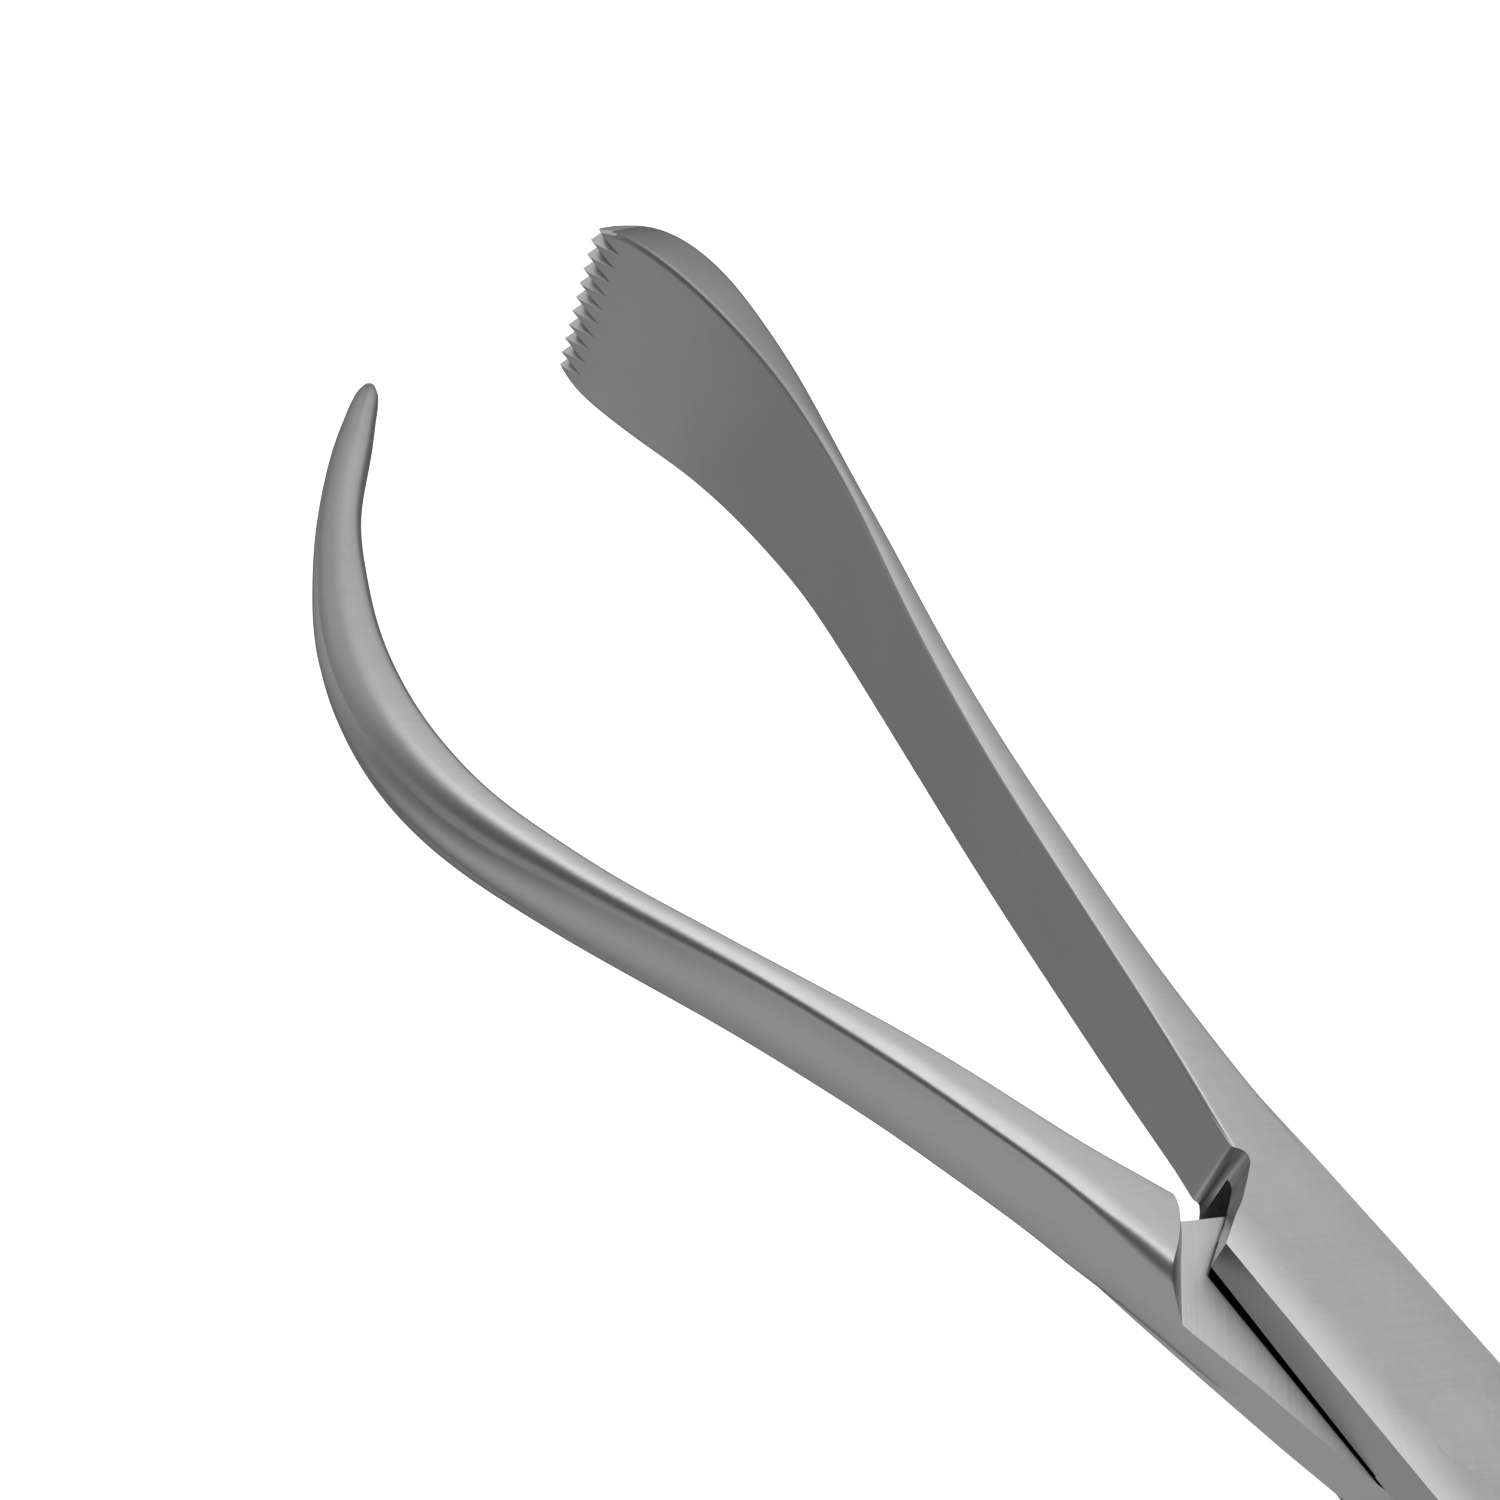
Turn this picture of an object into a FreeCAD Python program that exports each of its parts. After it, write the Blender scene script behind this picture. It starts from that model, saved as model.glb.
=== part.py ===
import FreeCAD, Part
import math
import os

# Bone-holding forceps: two long jaws on a half-lap joint, a broad toothed
# plate jaw and a slender hook jaw, long bowed handles and a swinging
# curved ratchet bar between the handle ends.
# All sizes in mm.  The parts are drawn about the main hinge with +X to the jaws,
# +Y to the plate-jaw side and +Z along the hinge axis.  The hand of the drawing
# is the opposite of the real one, so at the end every part is mirrored in Y
# (plate jaw on -Y, hook jaw on +Y, the lapped half facing +Z is the plate arm's)
# and moved so the origin is the bottom centre of the bounding box.

os.makedirs("parts", exist_ok=True)
V = FreeCAD.Vector

# ---------------------------------------------------------------- driving sizes
T = 6.2                 # thickness of the joint along the hinge
JOINT_HW = 5.7          # half width of the joint
HALF_OPEN = 7.84        # each arm is turned this many degrees open at rest
LAP_GAP = 0.12          # gap between the two lapped faces
V_X = 22.0              # where the front shoulders meet on the parting line
SH_X = 18.0             # where a shoulder reaches the flank
RIVET_D = 6.0
RIVET_CLEAR = 0.05
TOOTH_PITCH = 1.41
N_GROOVES = 10
RATCHET_R = 140.0       # ratchet arc is concentric with the main hinge
BAR_RAD = 2.8           # bar, radial thickness
BAR_Z = 3.2             # bar, thickness along Z
BAR_END_DEG = 34.6
BAR_TOOTH_DEG = 0.9
BAR_TOOTH_DEPTH = 0.85
HEEL_R = 3.3
SCREW_D = 3.0
SLOT_CLEAR = 0.05
ORIGIN = (21.070, -6.186, 8.330)    # where the hinge centre ends up


# ---------------------------------------------------------------- helpers
def poly(pts, z0, z1):
    ps = [V(x, y, z0) for x, y in pts]
    w = Part.makePolygon(ps + [ps[0]])
    return Part.Face(w).extrude(V(0, 0, z1 - z0))


def section(cx, cy, ang, nlo, nhi, w, rlo, rhi, blo=0.02, bhi=0.02, bz=0.04):
    """closed wire of 8 arcs across a bar; n is to the left of the heading"""
    a = math.radians(ang)
    nx, ny = -math.sin(a), math.cos(a)

    def P(n, z):
        return V(cx + nx * n, cy + ny * n, z)
    h = w / 2.0
    k = 1.0 - math.sqrt(0.5)

    def arc(p, m, q):
        return Part.Arc(p, m, q).toShape()
    e = []
    # low side, going up
    p0, p1 = P(nlo, -h + rlo), P(nlo, h - rlo)
    e.append(arc(p0, P(nlo - blo, 0), p1))
    p2 = P(nlo + rlo, h)
    e.append(arc(p1, P(nlo + rlo * k, h - rlo * k), p2))
    p3 = P(nhi - rhi, h)
    e.append(arc(p2, P((nlo + rlo + nhi - rhi) / 2.0, h + bz), p3))
    p4 = P(nhi, h - rhi)
    e.append(arc(p3, P(nhi - rhi * k, h - rhi * k), p4))
    p5 = P(nhi, -h + rhi)
    e.append(arc(p4, P(nhi + bhi, 0), p5))
    p6 = P(nhi - rhi, -h)
    e.append(arc(p5, P(nhi - rhi * k, -h + rhi * k), p6))
    p7 = P(nlo + rlo, -h)
    e.append(arc(p6, P((nlo + rlo + nhi - rhi) / 2.0, -h - bz), p7))
    e.append(arc(p7, P(nlo + rlo * k, -h + rlo * k), p0))
    return Part.Wire(e)


def loft(secs):
    return Part.makeLoft([section(*s) for s in secs], True, False, False, 3)


def rot_z(shape, deg):
    s = shape.copy()
    s.rotate(V(0, 0, 0), V(0, 0, 1), deg)
    return s


def biggest(shape):
    """drop slivers: keep the one solid that matters"""
    sol = sorted(shape.Solids, key=lambda q: q.Volume)
    return sol[-1]


H = T / 2.0
G = LAP_GAP / 2.0

# ================================================================ PLATE ARM
# stations of the plate jaw: x, inner y, outer y, width along Z, inner and
# outer corner radius, inner and outer bulge, crown of the side faces
PLATE = [
    (10.0, -2.00, 5.50, 6.20, 0.25, 0.25, 0.02, 0.02, 0.02),
    (18.0, -0.80, 5.34, 6.20, 0.25, 0.25, 0.02, 0.02, 0.02),
    (24.0, 0.12, 5.02, 6.34, 0.25, 0.25, 0.02, 0.02, 0.02),
    (28.0, 0.80, 4.94, 6.78, 0.25, 0.28, 0.02, 0.04, 0.03),
    (32.0, 1.44, 5.02, 7.18, 0.25, 0.30, 0.02, 0.06, 0.05),
    (40.0, 2.70, 5.60, 7.58, 0.25, 0.32, 0.02, 0.10, 0.08),
    (48.0, 3.97, 6.62, 7.82, 0.25, 0.34, 0.02, 0.12, 0.08),
    (56.0, 5.36, 7.78, 8.02, 0.25, 0.36, 0.02, 0.15, 0.08),
    (64.0, 6.98, 9.16, 8.45, 0.26, 0.38, 0.02, 0.20, 0.07),
    (72.0, 8.78, 10.76, 9.35, 0.28, 0.40, 0.02, 0.30, 0.06),
    (78.0, 10.22, 11.95, 10.40, 0.32, 0.42, 0.03, 0.40, 0.05),
    (84.0, 11.48, 12.98, 11.65, 0.38, 0.48, 0.05, 0.50, 0.04),
    (90.0, 12.22, 14.05, 13.05, 0.55, 0.60, 0.07, 0.45, 0.04),
    (96.0, 12.45, 14.95, 14.35, 0.80, 0.80, 0.08, 0.30, 0.04),
    (101.5, 12.00, 15.40, 15.40, 1.10, 1.00, 0.08, 0.20, 0.04),
    (106.5, 11.00, 15.35, 16.35, 1.40, 1.20, 0.06, 0.10, 0.04),
    (110.5, 9.98, 14.75, 16.50, 1.50, 1.40, 0.05, 0.05, 0.04),
    (113.5, 9.18, 13.75, 15.80, 1.30, 1.50, 0.04, 0.04, 0.04),
    (115.5, 8.72, 12.60, 14.40, 0.90, 1.40, 0.03, 0.03, 0.03),
    (116.75, 8.48, 11.60, 12.80, 0.50, 1.20, 0.02, 0.02, 0.02),
]
# handle path of the plate arm (mirrored for the hook arm):
# x, y centre, thickness in plan, width along Z, corner radius
HANDLE = [
    (-10.0, 0.10, 8.0, 6.20, 0.4),
    (-18.0, -1.90, 7.0, 6.20, 0.4),
    (-27.0, -4.20, 5.8, 6.26, 0.6),
    (-38.0, -7.30, 5.7, 6.80, 1.2),
    (-52.0, -11.40, 6.0, 6.95, 1.9),
    (-70.0, -15.40, 6.4, 7.00, 2.3),
    (-90.0, -17.60, 6.7, 7.00, 2.4),
    (-108.0, -17.60, 6.8, 7.05, 2.4),
    (-124.0, -16.20, 7.0, 7.20, 2.1),
    (-134.0, -15.00, 7.4, 7.50, 1.4),
    (-145.0, -13.90, 7.4, 7.50, 1.4),
    (-152.0, -13.40, 6.9, 7.20, 1.8),
    (-157.0, -13.20, 5.8, 6.20, 2.0),
    (-159.5, -13.15, 4.2, 4.60, 1.7),
]


def handle_loft(sign):
    secs = []
    n = len(HANDLE)
    for i, (x, y, t, w, r) in enumerate(HANDLE):
        a = HANDLE[max(0, i - 1)]
        b = HANDLE[min(n - 1, i + 1)]
        ang = math.degrees(math.atan2(sign * (b[1] - a[1]), b[0] - a[0]))
        secs.append((x, sign * y, ang, -t / 2.0, t / 2.0, w, r, r, 0.05, 0.05, 0.05))
    return loft(secs)


jaw = loft([(x, 0.0, 90.0 - 90.0, yi, yo, w, ri, ro, bi, bo, bz)
            for x, yi, yo, w, ri, ro, bi, bo, bz in PLATE])

# joint block of the plate arm, flush-closed frame
def smooth_line(pts, k=2):
    """Catmull-Rom curve through an open row of points"""
    p = [(2 * pts[0][0] - pts[1][0], 2 * pts[0][1] - pts[1][1])] + list(pts)
    p.append((2 * pts[-1][0] - pts[-2][0], 2 * pts[-1][1] - pts[-2][1]))
    out = []
    for i in range(1, len(p) - 2):
        for j in range(k):
            t = j / float(k)
            q = []
            for c in (0, 1):
                q.append(0.5 * (2 * p[i][c] + (p[i + 1][c] - p[i - 1][c]) * t
                                + (2 * p[i - 1][c] - 5 * p[i][c] + 4 * p[i + 1][c] - p[i + 2][c]) * t * t
                                + (3 * p[i][c] - p[i - 1][c] - 3 * p[i + 1][c] + p[i + 2][c]) * t ** 3))
            out.append(tuple(q))
    out.append(tuple(pts[-1]))
    return out


def ruled(low, top, z0, z1):
    """solid between two outlines with the same number of points"""
    p = [V(x, y, z0) for x, y in low]
    q = [V(x, y, z1) for x, y in top]
    faces = [Part.Face(Part.makePolygon(p + [p[0]])), Part.Face(Part.makePolygon(q + [q[0]]))]
    for i in range(len(p)):
        j = (i + 1) % len(p)
        flat = abs((p[j] - p[i]).cross(q[i] - p[i]).dot(q[j] - p[i])) < 1e-7
        if flat:
            faces.append(Part.Face(Part.makePolygon([p[i], p[j], q[j], q[i], p[i]])))
        else:
            faces.append(Part.Face(Part.makePolygon([p[i], p[j], q[i], p[i]])))
            faces.append(Part.Face(Part.makePolygon([p[j], q[j], q[i], p[j]])))
    body = Part.makeSolid(Part.makeShell(faces))
    if body.Volume < 0:
        body.reverse()
    return body


CHEEK_Z = -3.85          # outer face of the far cheek of the box joint
SLOT_Z = -H - 0.12       # floor of the slot the hook arm passes through
NOSE = smooth_line([(17.66, -5.52), (18.9, -3.64), (19.64, -2.32), (20.7, -0.85), (21.55, 0.25), (21.95, 0.56),
                    (22.34, 0.66), (22.72, 0.50), (23.0, 0.22), (23.3, 0.02), (23.7, 0.05), (24.2, 0.14)])
P_REST = [(26.0, 0.46), (26.0, 4.97), (20.0, 5.28), (12.0, 5.52), (3.0, 5.70), (-8.0, 5.74),
          (-SH_X, JOINT_HW), (-21.2, 0.9), (-21.9, 0.1), (-22.6, -0.35), (-27.5, -1.55)]
P_TOP = NOSE + P_REST + [(-27.5, -6.8), (-22.0, -5.8), (-17.0, -5.52), (-6.0, -5.52), (3.0, -5.52), (10.0, -5.52)]
P_BOT = [(17.50, -6.05)] + NOSE[1:] + P_REST + [(-27.5, -7.2), (-22.0, -6.3), (-17.0, -6.30), (-6.0, -6.32),
                                                (3.0, -6.32), (10.0, -6.22)]
block = ruled(P_BOT, P_TOP, -H - 0.5, H + 0.5).common(Part.makeBox(80, 30, 2 * H, V(-40, -15, -H)))
# thin far cheek, tapering out at both ends
CH_TOP = [(17.6, -6.15), (20.4, -3.0), (21.88, -1.10), (22.6, -0.30), (23.1, 0.10), (24.1, 0.12), (25.8, 0.46), (25.8, 4.85),
          (20.0, 5.2), (-8.0, 5.6), (-SH_X, 5.5), (-21.2, 0.9), (-22.6, -0.35), (-27.0, -1.6), (-27.0, -6.7),
          (-17.0, -6.3), (-6.0, -6.36), (3.0, -6.36), (10.0, -6.26)]
CH_LOW = [(17.3, -5.6), (19.9, -2.5), (21.3, -0.60), (22.0, 0.10), (22.6, 0.60), (23.0, 0.90), (23.3, 1.20), (23.3, 4.3),
          (19.0, 4.7), (-8.0, 5.0), (-18.2, 4.9), (-20.6, 0.9), (-21.6, -0.65), (-23.2, -1.4), (-23.2, -5.9),
          (-17.0, -5.8), (-6.0, -5.86), (3.0, -5.86), (10.0, -5.76)]
cheek = ruled(CH_LOW, CH_TOP, CHEEK_Z, -2.9)
handle = handle_loft(1.0)
plate = jaw.fuse(block).fuse(handle).fuse(cheek)

# the slot the other arm passes through; behind the crossing a thin side wall
# closes the flank
recess = poly([(V_X + 0.85, 0.0), (17.57, 8.2), (-40.0, 8.2), (-40.0, 0.25), (-V_X, 0.25), (-V_X, 0.0),
               (-19.6, -3.45), (-18.2, -3.75), (-8.3, -4.72), (-3.0, -5.38), (-1.0, -5.75), (-0.8, -8.2),
               (27.3, -8.2)], SLOT_Z, G)
plate = plate.cut(recess)
# the wider root of the other handle passes clear of the cheek at the rear
plate = plate.cut(poly([(-40.0, 0.25), (-V_X, 0.25), (-21.0, 8.2), (-40.0, 8.2)], -H - 2.0, SLOT_Z + 0.01))
# everything of the handle loft that sticks past the rear parting line, near half
rear_near = poly([(-V_X, 0.0), (-16.72, 8.2), (-40.0, 8.2), (-40.0, -0.2)], G - 0.01, H + 1.0)
plate = plate.cut(rear_near)
# in front of the near shoulder nothing may hang over the hook arm
front_near = poly(NOSE + [(24.2, -8.2), (16.0, -8.2)], SLOT_Z, H + 1.0)
plate = plate.cut(front_near)

# relief along the lower edge of the lapped half, running out to the rear
rel0 = Part.makePolygon([V(18.8, -7.0, G - 0.3), V(18.8, -3.3, G - 0.3), V(18.8, -3.3, G + 0.50),
                         V(18.8, -7.0, G + 0.50), V(18.8, -7.0, G - 0.3)])
rel1 = Part.makePolygon([V(1.2, -7.0, G - 0.3), V(1.2, -5.2, G - 0.3), V(1.2, -5.2, G + 0.12),
                         V(1.2, -7.0, G + 0.12), V(1.2, -7.0, G - 0.3)])
relief = Part.makeLoft([rel0, rel1], True, True)
plate = plate.cut(relief)

# end face of the plate jaw, ground a little out of square
SKEW = 0.75
trim = Part.Face(Part.makePolygon([V(116.75 + 0.02, 0, 9.0), V(122, 0, 9.0), V(122, 0, -9.0),
                                   V(116.75 - SKEW * 1.35, 0, -9.0), V(116.75 + 0.02, 0, 9.0)]))
plate = plate.cut(trim.extrude(V(0, 30, 0)))

# teeth across the end of the plate jaw
S = V(114.1, 9.02, 0)
bottom_end = V(116.75, 9.68, 0)
g = (bottom_end - S)
g.normalize()
nrm = V(g.y, -g.x, 0)            # away from the metal, toward the hook jaw
start = S - g * 1.6
depth = 1.10
for i in range(N_GROOVES):
    zc = (i - (N_GROOVES - 1) / 2.0) * TOOTH_PITCH
    k = 1.9
    a = start + V(0, 0, zc)
    b = a + nrm * (depth * k) + V(0, 0, TOOTH_PITCH * 0.5 * k * 1.0)
    c = a + nrm * (depth * k) - V(0, 0, TOOTH_PITCH * 0.5 * k * 1.0)
    tri = Part.Face(Part.makePolygon([a, b, c, a]))
    plate = plate.cut(tri.extrude(g * 6.5))

# window for the ratchet bar in the handle end
al = math.atan2(14.45, 139.25)
rad = V(-math.cos(al), -math.sin(al), 0)
tan = V(math.sin(al), -math.cos(al), 0)
R_IN = RATCHET_R - BAR_RAD / 2 - 3.3
R_OUT = RATCHET_R + BAR_RAD / 2 + 0.22
win = Part.Face(Part.makePolygon([rad * R_IN - tan * 9, rad * R_OUT - tan * 9,
                                  rad * R_OUT + tan * 9, rad * R_IN + tan * 9,
                                  rad * R_IN - tan * 9])).extrude(V(0, 0, BAR_Z + 0.6))
win.translate(V(0, 0, -(BAR_Z + 0.6) / 2))
plate = plate.cut(win)
# hinge bore
plate = plate.cut(Part.makeCylinder(RIVET_D / 2, T + 4, V(0, 0, -H - 2), V(0, 0, 1)))
plate = biggest(plate).removeSplitter()
plate = rot_z(plate, HALF_OPEN)

# ================================================================ HOOK ARM
# stations along the hook jaw: x, y of the centre line, heading, thickness in
# plan, width along Z, outer and inner corner radius, outer and inner bulge
HOOK_C = [
    (10.0, -1.20, 8.60, 6.20, 0.30, 0.25, 0.05, 0.02),
    (17.0, -2.15, 6.90, 6.20, 0.30, 0.25, 0.05, 0.02),
    (22.5, -2.80, 5.40, 6.20, 0.32, 0.25, 0.08, 0.02),
    (28.0, -3.47, 3.98, 6.24, 0.35, 0.25, 0.10, 0.02),
    (34.0, -4.25, 3.38, 6.22, 0.35, 0.25, 0.15, 0.02),
    (40.0, -5.13, 2.96, 6.18, 0.35, 0.26, 0.20, 0.02),
    (46.0, -6.36, 2.50, 6.18, 0.38, 0.28, 0.25, 0.02),
    (52.0, -7.79, 2.10, 6.15, 0.42, 0.30, 0.30, 0.03),
    (58.0, -9.40, 2.10, 6.10, 0.60, 0.35, 0.35, 0.05),
    (63.0, -10.72, 2.30, 6.05, 0.85, 0.42, 0.40, 0.08),
    (68.0, -11.73, 2.75, 6.00, 1.15, 0.50, 0.45, 0.10),
    (73.0, -12.36, 3.25, 5.95, 1.45, 0.60, 0.45, 0.10),
    (78.0, -12.06, 3.75, 5.85, 1.60, 0.70, 0.45, 0.10),
    (82.7, -10.85, 4.00, 5.65, 1.70, 0.80, 0.45, 0.10),
    (87.0, -8.92, 4.05, 5.35, 1.70, 0.90, 0.40, 0.10),
    (91.0, -6.38, 3.85, 4.95, 1.60, 0.95, 0.35, 0.10),
    (95.2, -2.90, 3.45, 4.45, 1.50, 1.00, 0.25, 0.08),
    (99.0, 0.75, 3.02, 3.90, 1.28, 1.00, 0.18, 0.06),
    (102.6, 5.00, 2.88, 3.45, 1.18, 1.00, 0.14, 0.05),
    (105.6, 9.00, 2.75, 3.05, 1.15, 1.00, 0.10, 0.04),
    (108.2, 12.60, 2.20, 2.50, 1.00, 0.90, 0.05, 0.03),
    (109.6, 14.60, 1.55, 1.80, 0.70, 0.65, 0.03, 0.02),
    (110.25, 15.50, 0.80, 0.95, 0.36, 0.34, 0.01, 0.01),
]
secs = []
n = len(HOOK_C)
for i, (x, y, t, w, ro, ri, bo, bi) in enumerate(HOOK_C):
    a = HOOK_C[max(0, i - 1)]
    b = HOOK_C[min(n - 1, i + 1)]
    ang = math.degrees(math.atan2(b[1] - a[1], b[0] - a[0]))
    if i < 4:
        ang = ang * 0.0
    secs.append((x, y, ang, -t / 2.0, t / 2.0, w, ro, ri, bo, bi, 0.03))
hjaw = loft(secs)

H_OUT = [
    (18.8, JOINT_HW), (20.95, 2.4), (22.45, 0.15), (23.3, 0.12), (24.0, -0.05),
    (24.8, -0.38), (26.5, -0.98), (26.5, -5.42), (20.0, -5.62),
    (8.0, -5.70), (4.0, -5.66), (1.0, -5.50), (-8.0, -5.0), (-SH_X, -4.6), (-21.2, -0.9), (-21.9, -0.1),
    (-22.6, 0.35), (-27.5, 1.55), (-27.5, 7.0), (-22.0, 6.0), (-17.0, JOINT_HW),
]
hblock = poly(H_OUT, -H, H)
hook = hjaw.fuse(hblock).fuse(handle_loft(-1.0))

# near half: taken away behind a leaning shoulder that runs out into the tongue
S_TOP = smooth_line([(24.9, -0.62), (24.08, -0.34), (23.22, -0.27), (22.4, -0.70), (21.62, -1.62), (20.76, -3.21),
                     (20.22, -4.64), (19.95, -5.8), (19.3, -8.2)])
S_FOOT = smooth_line([(24.9, -0.45), (24.0, -0.05), (23.35, 0.10), (22.62, 0.18), (21.79, 1.15), (19.90, -1.80),
                      (18.60, -3.85), (17.45, -5.60), (15.8, -8.2)])
REAR = [(-40.0, -8.2), (-40.0, -0.25), (-V_X, -0.25), (-V_X, 0.0), (-16.72, 8.2), (27.0, 8.2)]
ext = [(t[0] + (t[0] - q[0]) * 0.32, t[1] + (t[1] - q[1]) * 0.32) for t, q in zip(S_TOP, S_FOOT)]
hook = hook.cut(ruled(S_FOOT + REAR, ext + REAR, -G, H + 1.0))
# the face that slides on the cheek is flat
hook = hook.cut(poly([(-26.0, -9.0), (12.0, -9.0), (12.0, 9.0), (-26.0, 9.0)], -H - 3.0, -H))
rear_far = poly([(-V_X, 0.0), (-16.72, -8.2), (-40.0, -8.2), (-40.0, 0.2)], -H - 1.0, -G + 0.01)
hook = hook.cut(rear_far)
front_far = poly([(18.8, JOINT_HW), (20.95, 2.4), (22.45, 0.15), (23.3, 0.12),
                  (24.0, -0.05), (24.8, -0.38), (26.5, -0.98), (26.5, 8.2), (17.16, 8.2)],
                 -H - 1.0, H + 1.0)
hook = hook.cut(front_far)

# clevis slot and screw holes for the ratchet bar
HX, HY = -139.25, 14.45
heel_c = V(HX, HY, 0)
radh = V(-math.cos(al), math.sin(al), 0)     # outward, away from the main hinge
tanh = V(-math.sin(al), -math.cos(al), 0)    # toward the other handle
SL = BAR_Z + 2 * SLOT_CLEAR


def box_on(origin, u, v, u0, u1, v0, v1, z0, z1):
    p = [origin + u * a_ + v * b_ for a_, b_ in ((u0, v0), (u1, v0), (u1, v1), (u0, v1))]
    f = Part.Face(Part.makePolygon(p + [p[0]]))
    f.translate(V(0, 0, z0))
    return f.extrude(V(0, 0, z1 - z0))


slot = box_on(heel_c, radh, tanh, -5.6, 3.9, -3.9, 9.0, -SL / 2, SL / 2)
hook = hook.cut(slot)
hook = hook.cut(Part.makeCylinder(SCREW_D / 2, 20, V(HX, HY, -10), V(0, 0, 1)))
HEAD_R, HEAD_H = 2.6, 1.3
TOPZ = 7.5 / 2
hook = hook.cut(Part.makeCylinder(HEAD_R + 0.0, 5, V(HX, HY, TOPZ - HEAD_H), V(0, 0, 1)))
# hinge bore with running clearance
hook = hook.cut(Part.makeCylinder(RIVET_D / 2 + RIVET_CLEAR, T + 2, V(0, 0, -H - 1), V(0, 0, 1)))

# ---------------------------------------------------------------- leaf spring
# lies on the inner side of the hook-arm handle, free end just short of the bar
def inner_pt(x):
    """point on the inner side of the hook-arm handle at x, and its normal"""
    pts = [(p[0], -p[1], p[2]) for p in HANDLE]
    pts.sort()
    for p, q in zip(pts[:-1], pts[1:]):
        if p[0] <= x <= q[0]:
            f = (x - p[0]) / (q[0] - p[0])
            return p[1] + f * (q[1] - p[1]) - 0.5 * (p[2] + f * (q[2] - p[2]))
    return 0.0


SP_T, SP_Z = 0.7, 3.4
FLAT_X0, FLAT_X1 = -116.0, -104.0
FLAT_Y = 13.75
# a flat seat is ground on the handle for the spring
seat = poly([(FLAT_X0 - 0.5, FLAT_Y), (FLAT_X1 + 0.5, FLAT_Y), (FLAT_X1 + 0.5, FLAT_Y - 6),
             (FLAT_X0 - 0.5, FLAT_Y - 6)], -10, 10)
hook = hook.cut(seat)
heel_dir = -radh
contact = V(0, 0, 0)
bth = math.radians(2.9)
ca = al - bth
bar_in = V(-math.cos(ca), math.sin(ca), 0) * (RATCHET_R - BAR_RAD / 2)
tip = bar_in + V(math.cos(ca), -math.sin(ca), 0) * 0.45
upper = [V(FLAT_X1, FLAT_Y, 0), V(-110.0, FLAT_Y, 0), V(FLAT_X0, FLAT_Y, 0),
         V(-122.0, FLAT_Y - 0.75, 0), V(-128.0, FLAT_Y - 2.1, 0),
         V(-133.5, FLAT_Y - 3.9, 0), V(tip.x + 0.6, tip.y + 0.5, 0), V(tip.x, tip.y - 0.6, 0)]


def offset(pts, d):
    out = []
    for i, p in enumerate(pts):
        a_ = pts[max(0, i - 1)]
        b_ = pts[min(len(pts) - 1, i + 1)]
        t = b_ - a_
        t.normalize()
        out.append(p + V(-t.y, t.x, 0) * d)
    return out


lower = offset(upper, SP_T)


def spline(pts):
    b = Part.BSplineCurve()
    b.interpolate(pts)
    return b.toShape()


e1 = Part.makeLine(upper[0], upper[2])
e2 = spline(upper[2:])
f1 = Part.makeLine(lower[0], lower[2])
f2 = spline(lower[2:])
c1 = Part.makeLine(upper[0], lower[0])
c2 = Part.makeLine(upper[-1], lower[-1])
spring = Part.Face(Part.Wire(Part.__sortEdges__([e1, e2, c2, f2, f1, c1]))).extrude(V(0, 0, SP_Z))
spring.translate(V(0, 0, -SP_Z / 2))
SCR_X = -110.0
spring = spring.cut(Part.makeCylinder(1.1, 12, V(SCR_X, FLAT_Y - 6, 0), V(0, 1, 0)))
hook = hook.cut(Part.makeCylinder(1.1, 4.2, V(SCR_X, FLAT_Y - 0.5, 0), V(0, 1, 0)))
sscrew = Part.makeCylinder(1.1, 4.0, V(SCR_X, FLAT_Y - SP_T - 0.2, 0), V(0, 1, 0))
shead = Part.makeCylinder(1.9, 1.1, V(SCR_X, FLAT_Y - SP_T - 1.1, 0), V(0, 1, 0))
shead = shead.makeFillet(0.35, [e_ for e_ in shead.Edges
                                if abs(e_.BoundBox.YMax - (FLAT_Y - SP_T - 1.1)) < 1e-3 and e_.Length > 5])
sslot = Part.makeBox(5, 0.6, 0.5, V(SCR_X - 2.5, FLAT_Y - SP_T - 1.15, -0.25))
sscrew = sscrew.fuse(shead).cut(sslot)
sscrew = biggest(sscrew).removeSplitter()

hook = biggest(hook).removeSplitter()
hook = rot_z(hook, -HALF_OPEN)
spring = rot_z(biggest(spring), -HALF_OPEN)
sscrew = rot_z(sscrew, -HALF_OPEN)

# ---------------------------------------------------------------- ratchet bar
def pol(r, b):
    """point on the bar in the hook-arm frame: b degrees from the heel toward
    the plate-arm handle"""
    a_ = al - math.radians(b)
    return V(-r * math.cos(a_), r * math.sin(a_), 0)


RO = RATCHET_R + BAR_RAD / 2
RI = RATCHET_R - BAR_RAD / 2
T0, T1 = 12.6, 27.0
pts = []
b = 0.0
outer_pts = []
edges = []
a0 = Part.Arc(pol(RO, 0.0), pol(RO, T0 / 2), pol(RO, T0)).toShape()
edges.append(a0)
b = T0
last = pol(RO, T0)
while b < T1 - 1e-6:
    # the steep flank faces the free end, so closing slides over and opening locks
    p = pol(RO - BAR_TOOTH_DEPTH, b + 0.12)
    q = pol(RO, b + BAR_TOOTH_DEG)
    edges.append(Part.makeLine(last, p))
    edges.append(Part.makeLine(p, q))
    last = q
    b += BAR_TOOTH_DEG
edges.append(Part.Arc(last, pol(RO, (b + BAR_END_DEG - 0.55) / 2), pol(RO, BAR_END_DEG - 0.55)).toShape())
edges.append(Part.Arc(pol(RO, BAR_END_DEG - 0.55), pol(RATCHET_R, BAR_END_DEG),
                      pol(RI, BAR_END_DEG - 0.55)).toShape())
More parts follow.
